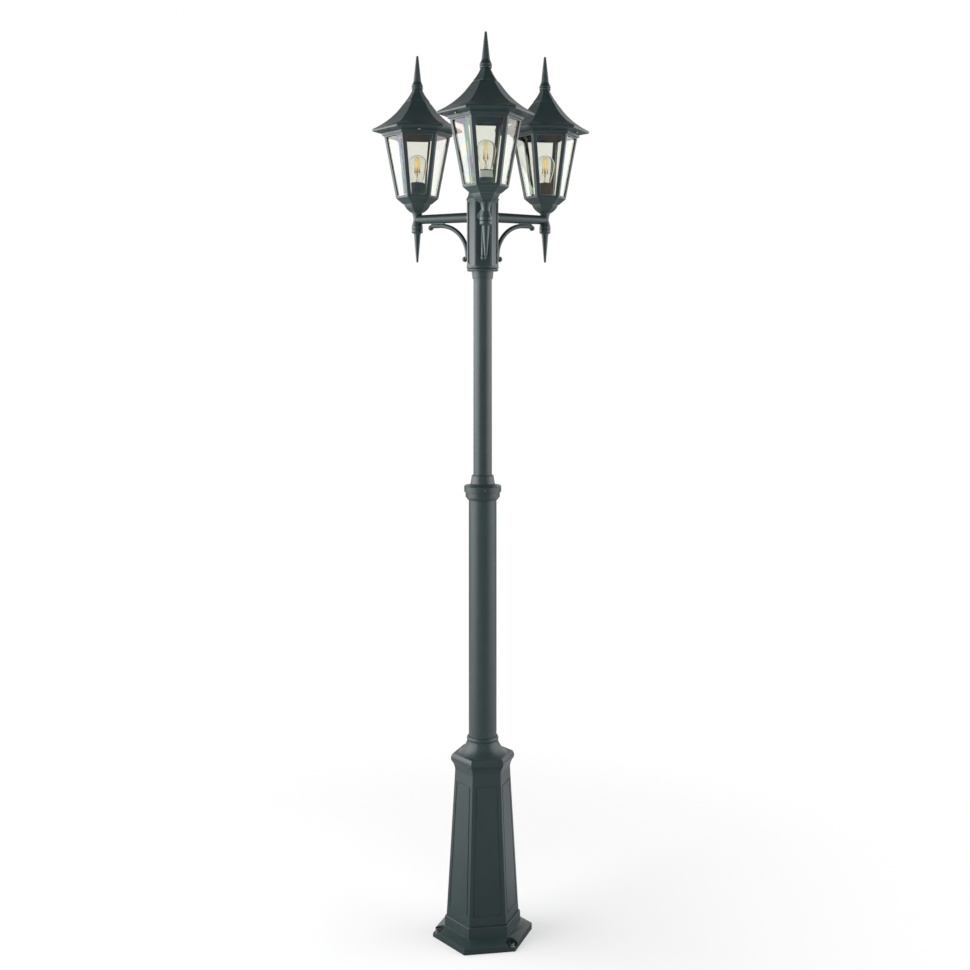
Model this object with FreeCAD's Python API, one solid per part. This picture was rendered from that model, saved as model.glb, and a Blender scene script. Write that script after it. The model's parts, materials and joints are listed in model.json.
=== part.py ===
"""Triple head lamp post: a cast hexagonal pedestal, a two-stage round post and three hexagonal
lanterns on arms at 120 degrees. Millimetres, +Z up, origin on the post's axis at ground level.
The front arm points along -Y."""
import FreeCAD, Part
import math
import os

Vector = FreeCAD.Vector

# Layout.
arm_angles = {"front": -90.0, "right": 30.0, "left": 150.0}
arm_reach = 208.0            # post axis to lantern axis
lantern_turn = 4.3           # each lantern is screwed down a little turned on its arm
base_turn = 7.0              # the round tube lets the pedestal stand turned under the head
running_fit = 0.05           # radial clearance of a piece that turns on a tube
joint_gap = 0.3              # clear distance between pieces that come apart
stem_fit = 0.1               # radial clearance round the threaded stems
cut_margin = 1.0             # how far a cutting shape runs past the face it opens
tip_round = 2.0              # length of the rounding at a blunt point

# Pedestal.
flange_radius = 137.2        # across-corner radius of the foot flange
flange_thickness = 17.0      # at its edge; its top rises from there to the foot
foot_radius = 105.0          # pedestal corner radius where it meets the flange
foot_bottom_z = 28.0
foot_top_radius = 103.8
foot_top_z = 56.0
foot_edge = 1.0              # chamfer on the foot's top edge
foot_groove_radius = 98.2    # shadow groove between the foot and the shaft
foot_groove_height = 2.6
shaft_bottom_radius = 99.4   # tapered shaft, corner radius just above the foot
shaft_bottom_z = 59.2
shaft_top_radius = 76.2
shaft_top_z = 450.0
shaft_wall = 6.0
moulding_radius = 88.0       # half-round moulding under the bell
moulding_neck_radius = 83.5
moulding_neck_z = 473.0
moulding_widest_z = 484.0
moulding_top_radius = 82.0
moulding_cove = 1.4          # hollow of the cove under the moulding
moulding_cove_lift = 2.0
pedestal_top_z = 496.0
bell_radius = 66.6
bell_waist_radius = 50.0
bell_waist_height = 16.0
bell_height = 34.0
bell_top_wall = 4.0          # bell and bead, measured outwards from the tube
neck_bead_radius = 43.2
neck_bead_height = 11.0
neck_bead_top_wall = 3.0
seat_sleeve_wall = 8.0       # sleeve inside the pedestal that holds the lower tube
seat_depth = 56.0            # how far that sleeve hangs below the pedestal's top
seat_ledge = 8.0             # how far its ledge reaches in under the tube
seat_ledge_thickness = 5.0
cover_thickness = 8.0        # roof of the pedestal's cavity
panel_margin = 10.0          # from the shaft's corner to the panel groove
panel_bottom_z = 82.0
panel_top_z = 423.0
groove_width = 3.0
groove_depth = 1.6
anchor_count = 3
anchor_corner_distance = 14.5    # from the flange's corner in to the anchor hole
first_anchor_angle = 60.0        # degrees, a corner of the flange
anchor_hole_radius = 4.5
pocket_radius = 16.5
pocket_floor = 9.5
washer_radius = 8.0
washer_thickness = 1.6
nut_across_flats = 13.0
nut_height = 6.5

# Tubes and collar.
lower_tube_radius = 38.1
lower_tube_wall = 3.0
lower_tube_exposed = 645.5
upper_tube_radius = 25.4
upper_tube_wall = 2.6
upper_tube_exposed = 536.4
upper_tube_overlap = 68.0    # upper tube hidden inside the lower one, below the collar
collar_cone_height = 7.5
collar_cone_wall = 2.0       # at the cone's lower lip
collar_bead_radius = 47.0
collar_bead_height = 14.3
collar_edge = 0.8            # small chamfers of the bead and ring
collar_ring_radius = 50.8
collar_ring_height = 17.3
collar_ring_chamfer = 1.6
collar_rim_width = 5.0       # flat rim on top of the ring, then a shallow groove
collar_groove_width = 3.0
collar_groove_depth = 0.9
collar_dish_height = 6.0
collar_sleeve_bottom_radius = 33.2
collar_sleeve_radius = 29.2
collar_sleeve_height = 22.6
collar_sleeve_round = 1.0
collar_socket_depth = 31.5   # how far the collar goes down over the lower tube
collar_screw_count = 3
collar_screw_angle = -83.0
collar_screw_radius = 2.5
collar_screw_proud = 0.6
bush_height = 16.0

# Capital.
capital_radius = 44.2
capital_height = 181.0
capital_wall = 4.5
neck_bottom_radius = 27.9
neck_top_radius = 30.2
neck_height = 21.0
neck_ring_radius = 43.0
neck_ring_height = 13.5
neck_ring_split = 0.55       # the lower, half-round ring's share of that height
neck_ring_round = 2.0
neck_ring_step = 1.2         # the upper ring stands out by this much more
head_socket_depth = 56.0     # upper tube inside the capital neck
socket_wall = 4.0
socket_roof = 4.0
wire_hole_radius = 6.0
capital_panel_margin = 8.0
capital_panel_inset = 7.0
capital_panel_round = 5.0
capital_panel_depth = 2.2
capital_corner_groove = 1.8      # radius of the groove that runs down each corner
cap_overhang_radius = 45.4
cap_edge = 3.0
cap_cove = 1.2
cap_shoulder_radius = 39.0
cap_shoulder_height = 21.0
cap_height = 28.5
cap_button_radius = 10.0
cap_wall = 3.5
terminal_width = 26.0
terminal_depth = 16.0
terminal_height = 14.0
terminal_screw_radius = 1.8
terminal_screw_depth = 4.0

# Arms, scrolls, pendants.
arm_drop = 45.5              # arm axis below the capital body's top
arm_root_radius = 14.0
arm_tip_radius = 12.6
arm_flare_radius = 17.0
arm_flare_length = 7.0
arm_bore_radius = 8.0
hub_rise = 19.5              # arm axis to the lantern's seat
hub_drop = 27.0              # arm axis to the hub's underside
hub_top_radius = 15.2
hub_waist_radius = 11.0
hub_bead_radius = 15.9
hub_bead_height = 5.5
hub_waist_hollow = 0.9
hub_waist_drop = 2.0         # the waist is narrowest this far below the arm's axis
bead_slope = 2.5             # rounding between a bead and the waist or shoulder beside it
bead_chamfer = 1.2           # at the joint between the hub's bead and the pendant's
scroll_bar_radius = 6.3
scroll_sweep_radius = 86.5
scroll_reach = 47.5          # post axis to the bar where it runs down beside the capital
scroll_gap = 7.2             # arm axis to bar axis, less the arm's own tip radius
scroll_straight = 20.0
scroll_upper_curl_radius = 12.0
scroll_upper_curl = 53.0     # degrees
scroll_lower_curl_radius = 8.5
scroll_lower_curl = 85.0     # degrees
scroll_ball_radius = 7.6
scroll_pad_width = 8.0
scroll_top_pad_length = 40.0
scroll_side_pad_length = 22.0
arm_spigot_radius = 13.0     # plug that fills the capital's panel behind the arm
pendant_bead_radius = 15.9
pendant_bead_height = 11.0
pendant_shoulder_radius = 9.7
pendant_tip_radius = 3.0
pendant_length = 93.0
pendant_collar_width = 1.5   # ledge between the pendant's bead and its shoulder
pendant_thread_depth = 15.0
stem_radius = 5.0
stem_bore_radius = 3.0

# Lantern body.
bowl_bottom_radius = 17.0
bowl_belly_radius = 31.0
bowl_belly_height = 11.6
bowl_step_radius = 37.6
bowl_step_height = 24.5
bowl_step_overhang = 3.8
bowl_step_edge = 1.0
bowl_height = 40.0
bowl_wall = 3.5
cage_bottom_radius = 60.0
cage_top_radius = 94.6
cage_height = 180.5
cage_wall = 3.0
cage_floor = 3.0
bar_width = 10.0             # each corner bar, measured along one face
bottom_rail = 5.5
top_rail = 10.0
pane_thickness = 3.0
pane_overlap = 5.0           # how far a pane reaches behind its bars
pane_top_gap = 2.0           # below the cage's upper edge
holder_radius = 19.75
holder_height = 41.5
holder_foot = 8.0
holder_lip = 1.2             # lip round the holder's foot
holder_lip_height = 3.0
holder_edge = 1.0
holder_bore_radius = 15.2
collar_split_height = 21.5   # height of the front lampholder's dark foot
pale_collar_radius = 18.3
pale_collar_top_radius = 17.0
pale_collar_foot = 4.0       # its straight lower part

# Lamp.
lamp_cap_radius = 13.2
lamp_cap_height = 27.0
lamp_cap_rim = 3.0
lamp_thread_turns = 4
lamp_thread_start = 7.0      # height of the first turn above the contact
lamp_thread_depth = 1.0
lamp_contact_radius = 4.5
lamp_contact_height = 1.5
lamp_skirt_radius = 9.5      # insulator between the contact and the thread
lamp_skirt_height = 4.0
lamp_neck_radius = 14.6
lamp_radius = 27.5
lamp_belly_height = 57.0     # the crown above the belly is half a ball
lamp_wall = 1.0
lamp_neck_height = 8.0       # straight neck, mostly inside the holder
lamp_seat_gap = 0.3          # lamp cap above the holder's foot
filament_count = 4
filament_radius = 1.0
filament_length = 40.0
filament_spread = 6.5
filament_lean = 3.0
filament_base_height = 38.0
lead_wire_radius = 0.6
lead_wire_rise = 6.0         # from the stem's top to the rods' feet
lamp_stem_radius = 4.0
lamp_stem_foot_radius = 8.8
lamp_stem_foot_height = 8.0

# Roof.
roof_eave_radius = 126.6
roof_lip = 7.5
roof_lip_round = 1.8
roof_skirt_drop = 12.0       # eave's underside to the skirt's lower edge
roof_skirt_radius = 99.0
roof_soffit_radius = 121.5
roof_soffit_rise = 4.5
roof_rise = 77.0             # eave's top edge to the flat under the cap
roof_middle_radius = 82.5    # the sweep's middle, then its end where the roof runs straight
roof_middle_rise = 25.5
roof_sweep_radius = 53.0
roof_sweep_rise = 53.5
roof_top_radius = 34.5
roof_wall_drop = 4.6         # upright thickness of the roof's shell
roof_boss_radius = 8.0       # boss under the peak that takes the finial's stud
roof_boss_depth = 14.0
roof_ledge = 5.0             # inner ledge that rests on the cage
roof_skirt_clearance = 0.6   # between the cage's rim and the skirt
roof_skirt_overlap = 5.5     # how far the skirt hangs down over the cage's rim
roof_cap_radius = 34.6
roof_cap_edge = 3.0
roof_cap_draft = 1.0
roof_cap_middle_radius = 23.5
roof_cap_middle_height = 16.5
roof_cap_top_radius = 14.5
roof_cap_height = 34.0
cap_turns = {"front": 15.8, "right": 5.8, "left": -2.2}   # each cap as its finial clamped it
finial_bead_radius = 16.2
finial_bead_height = 14.0
finial_bead_split = 0.55     # the lower bead's share of that height
finial_bead_groove = 1.4     # depth of the groove between the beads
finial_foot_inset = 2.6
finial_flare_height = 9.0
finial_spike_radius = 11.1
finial_spike_length = 73.0
finial_tip_radius = 3.2
finial_stud_radius = 3.0
finial_stud_length = 48.0
roof_screw_distance = 94.0   # lantern axis to a roof screw
roof_screw_angle = 120.0
roof_screw_head_radius = 3.6
roof_screw_head_height = 4.2
roof_screw_head_round = 1.4
roof_screw_head_gap = 0.9        # under the sloping soffit, at the head's middle
roof_screw_slot = 1.0            # width and depth
roof_screw_shank_radius = 2.0
roof_screw_shank_length = 8.0
roof_screw_end_gap = 0.2         # between the shank's end and its hole

# Heights that follow.
flat_of = math.cos(math.radians(30.0))   # flat distance of a hexagon for a corner radius of one
anchor_circle_radius = flange_radius - anchor_corner_distance
neck_top_z = pedestal_top_z + bell_height + neck_bead_height
lower_tube_bottom_z = pedestal_top_z - seat_depth
collar_z = neck_top_z + lower_tube_exposed
lower_tube_top_z = collar_z + collar_socket_depth
ring_bottom_z = collar_z + collar_cone_height + collar_bead_height
ring_top_z = ring_bottom_z + collar_ring_height
sleeve_bottom_z = ring_top_z + collar_dish_height
sleeve_top_z = sleeve_bottom_z + collar_sleeve_height
neck_z = sleeve_top_z + upper_tube_exposed
neck_ring_z = neck_z + neck_height
capital_z = neck_ring_z + neck_ring_height
capital_top_z = capital_z + capital_height
upper_tube_top_z = neck_z + head_socket_depth
upper_tube_bottom_z = collar_z - upper_tube_overlap
arm_z = capital_top_z - arm_drop
seat_z = arm_z + hub_rise                # every lantern's own zero
hub_bottom = -hub_rise - hub_drop        # lantern heights from here on
cage_bottom = bowl_height
cage_top = bowl_height + cage_height
floor_top = cage_bottom + cage_floor
skirt_bottom = cage_top - roof_skirt_overlap
eave_bottom = skirt_bottom + roof_skirt_drop
eave_top = eave_bottom + roof_lip
roof_top = eave_top + roof_rise
roof_cap_top = roof_top + roof_cap_height
holder_top = floor_top + holder_height
lamp_bottom = floor_top + holder_foot + lamp_seat_gap
lamp_neck = lamp_bottom + lamp_cap_height


# Shape helpers.
def path_edges(path):
    """Edges in the XZ plane through (r, z) points; ("arc", middle, end) makes a round stretch."""
    here = Vector(path[0][0], 0, path[0][1])
    edges = []
    for step in path[1:]:
        if step[0] == "arc":
            middle = Vector(step[1][0], 0, step[1][1])
            end = Vector(step[2][0], 0, step[2][1])
            edges.append(Part.Arc(here, middle, end).toShape())
        else:
            end = Vector(step[0], 0, step[1])
            edges.append(Part.LineSegment(here, end).toShape())
        here = end
    return edges


def turned(path):
    """Solid of revolution about Z of a path that is closed by a last straight edge."""
    edges = path_edges(list(path) + [path[0]])
    return Part.Face(Part.Wire(edges)).revolve(Vector(), Vector(0, 0, 1), 360.0)


def scaled(path, factor):
    """The same path with every radius multiplied by the factor."""
    result = []
    for step in path:
        if step[0] == "arc":
            result.append(("arc", (step[1][0] * factor, step[1][1]), (step[2][0] * factor, step[2][1])))
        else:
            result.append((step[0] * factor, step[1]))
    return result


def widest(path):
    radii = []
    for step in path:
        radii += [step[1][0], step[2][0]] if step[0] == "arc" else [step[0]]
    return max(radii)


def hexed(path, turn=0.0):
    """Hexagonal solid whose corner radius follows a path from bottom to top.
    Without a turn its flats face 0, 60, 120 degrees and so on."""
    right = path_edges(scaled(path, flat_of))
    left = [edge.mirror(Vector(), Vector(1, 0, 0)) for edge in right]
    first, last = path[0], path[-1][2] if path[-1][0] == "arc" else path[-1]
    bottom = Part.LineSegment(Vector(-first[0] * flat_of, 0, first[1]), Vector(first[0] * flat_of, 0, first[1]))
    top = Part.LineSegment(Vector(-last[0] * flat_of, 0, last[1]), Vector(last[0] * flat_of, 0, last[1]))
    loop = Part.Wire(Part.sortEdges(right + left + [bottom.toShape(), top.toShape()])[0])
    length = 2.5 * widest(path)
    slab = Part.Face(loop).extrude(Vector(0, length, 0))
    slab.translate(Vector(0, -length / 2, 0))
    solid = slab
    for angle in (60.0, 120.0):
        solid = solid.common(spun(slab, angle))
    return spun(solid.removeSplitter(), turn)


def spun(shape, angle):
    """A copy turned about the Z axis."""
    copy = shape.copy()
    copy.rotate(Vector(), Vector(0, 0, 1), angle)
    return copy


def moved(shape, x=0.0, y=0.0, z=0.0):
    copy = shape.copy()
    copy.translate(Vector(x, y, z))
    return copy


def cylinder(radius, low, high, x=0.0, y=0.0):
    return Part.makeCylinder(radius, high - low, Vector(x, y, low), Vector(0, 0, 1))


def tube(outer, inner, low, high):
    return cylinder(outer, low, high).cut(cylinder(inner, low - cut_margin, high + cut_margin))


def block(width_x, width_y, low, high, x=0.0, y=0.0):
    return Part.makeBox(width_x, width_y, high - low, Vector(x - width_x / 2, y - width_y / 2, low))


def around(shape, count, first_angle=0.0):
    """Copies of a shape spread evenly about the Z axis."""
    return [spun(shape, first_angle + index * 360.0 / count) for index in range(count)]


def joined(shapes):
    return shapes[0].fuse(shapes[1:]).removeSplitter()


def face_prism(corners, low_x, high_x):
    """Prism along X over a polygon of (y, z) corners."""
    points = [Vector(low_x, y, z) for y, z in corners]
    wire = Part.makePolygon(points + [points[0]])
    return Part.Face(wire).extrude(Vector(high_x - low_x, 0, 0))


def trapezoid(half_low, half_high, low, high):
    return [(-half_low, low), (half_low, low), (half_high, high), (-half_high, high)]


def along(low, high, start, end, z):
    """Value on the straight taper from low at start to high at end."""
    return low + (high - low) * (z - start) / (end - start)


def hex_nut(across_flats, bore, low, high):
    corner = across_flats / 2 / flat_of
    return hexed([(corner, low), (corner, high)]).cut(cylinder(bore, low - cut_margin, high + cut_margin))


def blunt_point(radius, tip, way):
    """Outline of a small rounded end at the height tip; way is 1 for a point that looks up, -1 for down."""
    return [(radius, tip - way * tip_round),
            ("arc", (radius * 0.8, tip - way * tip_round * 0.3), (radius * 0.3, tip)), (0, tip)]


nodes = {}


def add(name, *shapes):
    """Keeps the named sub-part: one shape, or a group of separate ones."""
    nodes[name] = shapes[0] if len(shapes) == 1 else Part.makeCompound(list(shapes))


# Base and post.
def panel_grooves():
    """Rectangular groove outline for one face of the shaft, before its depth is limited."""
    def half(z):
        side = along(shaft_bottom_radius, shaft_top_radius, shaft_bottom_z, shaft_top_z, z)
        return side / 2 - panel_margin
    outer = trapezoid(half(panel_bottom_z), half(panel_top_z), panel_bottom_z, panel_top_z)
    low, high = panel_bottom_z + groove_width, panel_top_z - groove_width
    inner = trapezoid(half(low) - groove_width, half(high) - groove_width, low, high)
    start, reach = shaft_top_radius / 2, flange_radius
    return face_prism(outer, start, reach).cut(face_prism(inner, start - cut_margin, reach + cut_margin))


def pedestal_shell():
    groove_top_z = foot_top_z + foot_groove_height
    cove_radius = (shaft_top_radius + moulding_neck_radius) / 2 - moulding_cove
    cove_z = (shaft_top_z + moulding_neck_z) / 2 + moulding_cove_lift
    return hexed([
        (flange_radius, 0), (flange_radius, flange_thickness), (foot_radius, foot_bottom_z),
        (foot_top_radius, foot_top_z - foot_edge), (foot_top_radius - foot_edge, foot_top_z),
        (foot_groove_radius, foot_top_z), (foot_groove_radius, groove_top_z),
        (shaft_bottom_radius, shaft_bottom_z), (shaft_top_radius, shaft_top_z),
        ("arc", (cove_radius, cove_z), (moulding_neck_radius, moulding_neck_z)),
        ("arc", (moulding_radius, moulding_widest_z), (moulding_top_radius, pedestal_top_z))], 30)


def pedestal_bell(bore):
    """Round bell and neck bead on top of the pedestal, with its seat in the cover."""
    cover_z, bell_top = pedestal_top_z - cover_thickness, pedestal_top_z + bell_height
    return turned([
        (bore, cover_z), (bell_radius, cover_z), (bell_radius, pedestal_top_z),
        ("arc", (bell_waist_radius, pedestal_top_z + bell_waist_height),
         (lower_tube_radius + bell_top_wall, bell_top)),
        ("arc", (neck_bead_radius, bell_top + neck_bead_height / 2),
         (lower_tube_radius + neck_bead_top_wall, neck_top_z)),
        (bore, neck_top_z)])


def base_pedestal():
    """One casting: flange, foot, tapered shaft with outlined panels, moulding, bell and inner sleeve."""
    bore = lower_tube_radius + running_fit
    wall = shaft_wall / flat_of
    cover_z = pedestal_top_z - cover_thickness
    cavity = hexed([
        (foot_radius - wall, -cut_margin), (foot_radius - wall, foot_bottom_z),
        (foot_groove_radius - wall, foot_top_z), (shaft_top_radius - wall, shaft_top_z),
        (shaft_top_radius - wall, cover_z)], 30)
    solid = pedestal_shell().cut(cavity)
    solid = solid.cut(cylinder(bore, cover_z - cut_margin, pedestal_top_z + cut_margin))
    sleeve = turned([
        (lower_tube_radius - seat_ledge, lower_tube_bottom_z - seat_ledge_thickness),
        (bore + seat_sleeve_wall, lower_tube_bottom_z - seat_ledge_thickness),
        (bore + seat_sleeve_wall, pedestal_top_z), (bore, pedestal_top_z),
        (bore, lower_tube_bottom_z), (lower_tube_radius - seat_ledge, lower_tube_bottom_z)])
    inset = groove_depth / flat_of
    groove_floor = hexed([
        (shaft_bottom_radius - inset, shaft_bottom_z), (shaft_top_radius - inset, shaft_top_z)], 30)
    grooves = [spun(groove, 30).cut(groove_floor) for groove in around(panel_grooves(), 6)]
    solid = joined([solid, pedestal_bell(bore), sleeve]).cut(grooves)
    pocket = cylinder(pocket_radius, pocket_floor, foot_top_z, anchor_circle_radius)
    hole = cylinder(anchor_hole_radius, -cut_margin, pocket_floor + cut_margin, anchor_circle_radius)
    return solid.cut(around(pocket, anchor_count, first_anchor_angle)
                     + around(hole, anchor_count, first_anchor_angle))


def anchor_washer():
    return moved(tube(washer_radius, anchor_hole_radius, pocket_floor, pocket_floor + washer_thickness),
                 anchor_circle_radius)


def anchor_nut():
    low = pocket_floor + washer_thickness
    return moved(hex_nut(nut_across_flats, anchor_hole_radius, low, low + nut_height), anchor_circle_radius)


def collar():
    """Reducer from the lower tube to the upper one, with its bead, ring, dish and sleeve."""
    over, around_upper = lower_tube_radius + running_fit, upper_tube_radius + running_fit
    bead_z, groove_z = collar_z + collar_cone_height, ring_top_z - collar_groove_depth
    rim = collar_ring_radius - collar_rim_width
    dish = rim - collar_groove_width
    ring_shoulder = collar_ring_radius - collar_ring_chamfer
    foot, top, turn = collar_sleeve_bottom_radius, collar_sleeve_radius, collar_sleeve_round
    return turned([
        (over, collar_z), (over + collar_cone_wall, collar_z), (collar_bead_radius - collar_edge, bead_z),
        (collar_bead_radius, bead_z + collar_edge), (collar_bead_radius, ring_bottom_z),
        (collar_ring_radius - collar_edge, ring_bottom_z), (collar_ring_radius, ring_bottom_z + collar_edge),
        (collar_ring_radius, ring_top_z - collar_ring_chamfer), (ring_shoulder, ring_top_z),
        (rim, ring_top_z), (rim - collar_edge, groove_z), (dish, groove_z), (dish - collar_edge, ring_top_z),
        ("arc", (foot + collar_dish_height * 0.43, ring_top_z + collar_dish_height * 0.57),
         (foot, sleeve_bottom_z)),
        (top + turn, sleeve_top_z - 3 * turn),
        ("arc", (top + 0.6 * turn, sleeve_top_z - 0.8 * turn), (top - turn, sleeve_top_z)),
        (around_upper, sleeve_top_z), (around_upper, lower_tube_top_z), (over, lower_tube_top_z)])


def collar_screw_bore():
    start = Vector(lower_tube_radius, 0, ring_top_z - collar_ring_height / 2)
    return Part.makeCylinder(collar_screw_radius, collar_ring_radius, start, Vector(1, 0, 0))


def collar_screw():
    """Grub screw through the collar's ring, with its hexagon socket."""
    z = ring_top_z - collar_ring_height / 2
    inner = lower_tube_radius + running_fit
    length = collar_ring_radius + collar_screw_proud - inner
    body = Part.makeCylinder(collar_screw_radius, length, Vector(inner, 0, z), Vector(1, 0, 0))
    socket = hexed([(collar_screw_radius * 0.6, 0), (collar_screw_radius * 0.6, length / 2)])
    socket.rotate(Vector(), Vector(0, 1, 0), 90)
    return body.cut(moved(socket, inner + length * 0.75, 0, z))


def post_parts():
    add("base_pedestal", spun(base_pedestal(), base_turn))
    first = base_turn + first_anchor_angle
    add("anchor_washers", *around(anchor_washer(), anchor_count, first))
    add("anchor_nuts", *around(anchor_nut(), anchor_count, first))
    add("lower_tube", tube(lower_tube_radius, lower_tube_radius - lower_tube_wall,
                           lower_tube_bottom_z, lower_tube_top_z))
    add("collar", collar().cut(around(collar_screw_bore(), collar_screw_count, collar_screw_angle)))
    add("collar_screws", *around(collar_screw(), collar_screw_count, collar_screw_angle))
    add("upper_tube", tube(upper_tube_radius, upper_tube_radius - upper_tube_wall,
                           upper_tube_bottom_z, upper_tube_top_z))
    add("guide_bush", tube(lower_tube_radius - lower_tube_wall - running_fit, upper_tube_radius + running_fit,
                           upper_tube_bottom_z, upper_tube_bottom_z + bush_height))


# Head.
def capital_neck():
    """Taper, double ring and the socket that slips over the upper tube."""
    bore = upper_tube_radius + running_fit
    outer = bore + socket_wall
    ceiling = upper_tube_top_z + joint_gap
    split_z = neck_ring_z + neck_ring_height * neck_ring_split
    upper_ring = neck_ring_radius + neck_ring_step
    return turned([
        (bore, neck_z), (neck_bottom_radius, neck_z), (neck_top_radius, neck_ring_z),
        (neck_ring_radius - neck_ring_round, neck_ring_z),
        ("arc", (neck_ring_radius, (neck_ring_z + split_z) / 2), (neck_ring_radius - neck_ring_round, split_z)),
        (upper_ring, split_z + neck_ring_step), (upper_ring, capital_z),
        (outer, capital_z), (outer, ceiling + socket_roof), (wire_hole_radius, ceiling + socket_roof),
        (wire_hole_radius, ceiling), (bore, ceiling)])


def capital_panel():
    """Rounded panel on the face at angle 0, to be limited in depth."""
    half = capital_radius / 2 - capital_panel_margin
    low, high = capital_z + capital_panel_inset, capital_top_z - capital_panel_inset
    plate = Part.makeBox(capital_radius, 2 * half, high - low, Vector(capital_radius / 2, -half, low))
    edges = [edge for edge in plate.Edges if edge.BoundBox.XLength > capital_radius / 2]
    return plate.makeFillet(capital_panel_round, edges)


def capital_body():
    inner = capital_radius - capital_wall / flat_of
    solid = hexed([(capital_radius, capital_z), (capital_radius, capital_top_z)], 30)
    solid = solid.cut(hexed([(inner, capital_z - cut_margin), (inner, capital_top_z + cut_margin)], 30))
    floor = capital_radius - capital_panel_depth / flat_of
    panel_floor = hexed([(floor, capital_z), (floor, capital_top_z)], 30)
    panels = [spun(capital_panel(), 30 + 60 * index).cut(panel_floor) for index in range(6)]
    corner_groove = cylinder(capital_corner_groove, capital_z - cut_margin, capital_top_z + cut_margin,
                             capital_radius)
    wire_holes = [Part.makeCylinder(arm_bore_radius, capital_radius, Vector(0, 0, arm_z), heading(angle))
                  for angle in arm_angles.values()]
    return solid.cut(panels).cut(around(corner_groove, 6)).cut(wire_holes)


def heading(angle):
    return Vector(math.cos(math.radians(angle)), math.sin(math.radians(angle)), 0)


def capital_cap():
    z = capital_top_z
    cove = ((cap_overhang_radius + cap_shoulder_radius) / 2 - cap_cove,
            z + (cap_edge + cap_shoulder_height) / 2 - cap_cove)
    shell = hexed([
        (cap_overhang_radius, z), (cap_overhang_radius, z + cap_edge),
        ("arc", cove, (cap_shoulder_radius, z + cap_shoulder_height)),
        (cap_button_radius, z + cap_height)], 30)
    inner = cap_shoulder_radius - cap_wall / flat_of
    return shell.cut(hexed([(inner, z - cut_margin), (inner, z + cap_shoulder_height - cap_wall)], 30))


def terminal_block():
    low = upper_tube_top_z + joint_gap + socket_roof
    high = low + terminal_height
    screws = [cylinder(terminal_screw_radius, high - terminal_screw_depth, high + cut_margin, x)
              for x in (-terminal_width / 3, 0, terminal_width / 3)]
    return block(terminal_width, terminal_depth, low, high).cut(screws)


def arm_hub():
    """Turned seat at the arm's end, in the lantern's own heights."""
    return turned([
        (0, 0), (hub_top_radius, 0),
        ("arc", (hub_waist_radius + hub_waist_hollow, -hub_rise * 0.55),
         (hub_waist_radius, -hub_rise - hub_waist_drop)),
        (hub_bead_radius, hub_bottom + hub_bead_height + bead_slope),
        (hub_bead_radius, hub_bottom + bead_chamfer), (hub_bead_radius - bead_chamfer, hub_bottom),
        (0, hub_bottom)])


def arm_cone():
    start = capital_radius * flat_of
    return Part.makeCone(arm_root_radius, arm_tip_radius, arm_reach - start,
                         Vector(start, 0, arm_z), Vector(1, 0, 0))


def arm():
    """Tapered arm with its flare at the capital and its hub, lying along +X."""
    start = capital_radius * flat_of
    flare = Part.makeCone(arm_flare_radius, arm_root_radius, arm_flare_length, Vector(start, 0, arm_z),
                          Vector(1, 0, 0))
    root = start - capital_panel_depth
    spigot = Part.makeCylinder(arm_spigot_radius, arm_flare_length, Vector(root, 0, arm_z), Vector(1, 0, 0))
    solid = joined([arm_cone(), flare, spigot, moved(arm_hub(), arm_reach, 0, seat_z)])
    wire_bore = Part.makeCylinder(arm_bore_radius, arm_reach - root, Vector(root, 0, arm_z), Vector(1, 0, 0))
    stem_bore = cylinder(stem_radius + stem_fit, seat_z + hub_bottom - cut_margin, seat_z + cut_margin,
                         arm_reach)
    return solid.cut([wire_bore, stem_bore])


def ring_bar(radius, centre_x, centre_z, first, last):
    """Round bar bent in the XZ plane, from one angle to another about its centre."""
    bar = Part.makeTorus(radius, scroll_bar_radius, Vector(), Vector(0, 0, 1), -180, 180, last - first)
    bar.rotate(Vector(), Vector(0, 0, 1), first)
    bar.rotate(Vector(), Vector(1, 0, 0), 90)
    return moved(bar, centre_x, 0, centre_z)


def scroll():
    """Bent bar under the arm, with a curl and a ball at each end and a pad at each seat."""
    bar_top = arm_z - arm_tip_radius - scroll_gap
    centre_x, centre_z = scroll_reach + scroll_sweep_radius, bar_top - scroll_sweep_radius
    sweep = ring_bar(scroll_sweep_radius, centre_x, centre_z, 90, 180)
    run = Part.makeCylinder(scroll_bar_radius, scroll_straight, Vector(centre_x, 0, bar_top), Vector(1, 0, 0))
    upper_x, upper_z = centre_x + scroll_straight, bar_top - scroll_upper_curl_radius
    upper_end, lower_end = 90 - scroll_upper_curl, 180 + scroll_lower_curl
    upper = ring_bar(scroll_upper_curl_radius, upper_x, upper_z, upper_end, 90)
    lower_x = scroll_reach + scroll_lower_curl_radius
    lower = ring_bar(scroll_lower_curl_radius, lower_x, centre_z, 180, lower_end)
    balls = []
    for x, z, radius, angle in ((upper_x, upper_z, scroll_upper_curl_radius, upper_end),
                                (lower_x, centre_z, scroll_lower_curl_radius, lower_end)):
        end = heading(angle) * radius
        balls.append(Part.makeSphere(scroll_ball_radius, Vector(x + end.x, 0, z + end.y)))
    top_pad = block(scroll_top_pad_length, scroll_pad_width, bar_top, arm_z, centre_x + scroll_straight / 3)
    top_pad = top_pad.cut(arm_cone())
    face = capital_radius * flat_of
    recess = face - capital_panel_depth
    side_pad = Part.makeBox(scroll_reach - recess, scroll_pad_width, scroll_side_pad_length,
                            Vector(recess, -scroll_pad_width / 2, centre_z))
    return joined([sweep, run, upper, lower] + balls + [top_pad, side_pad])


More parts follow.
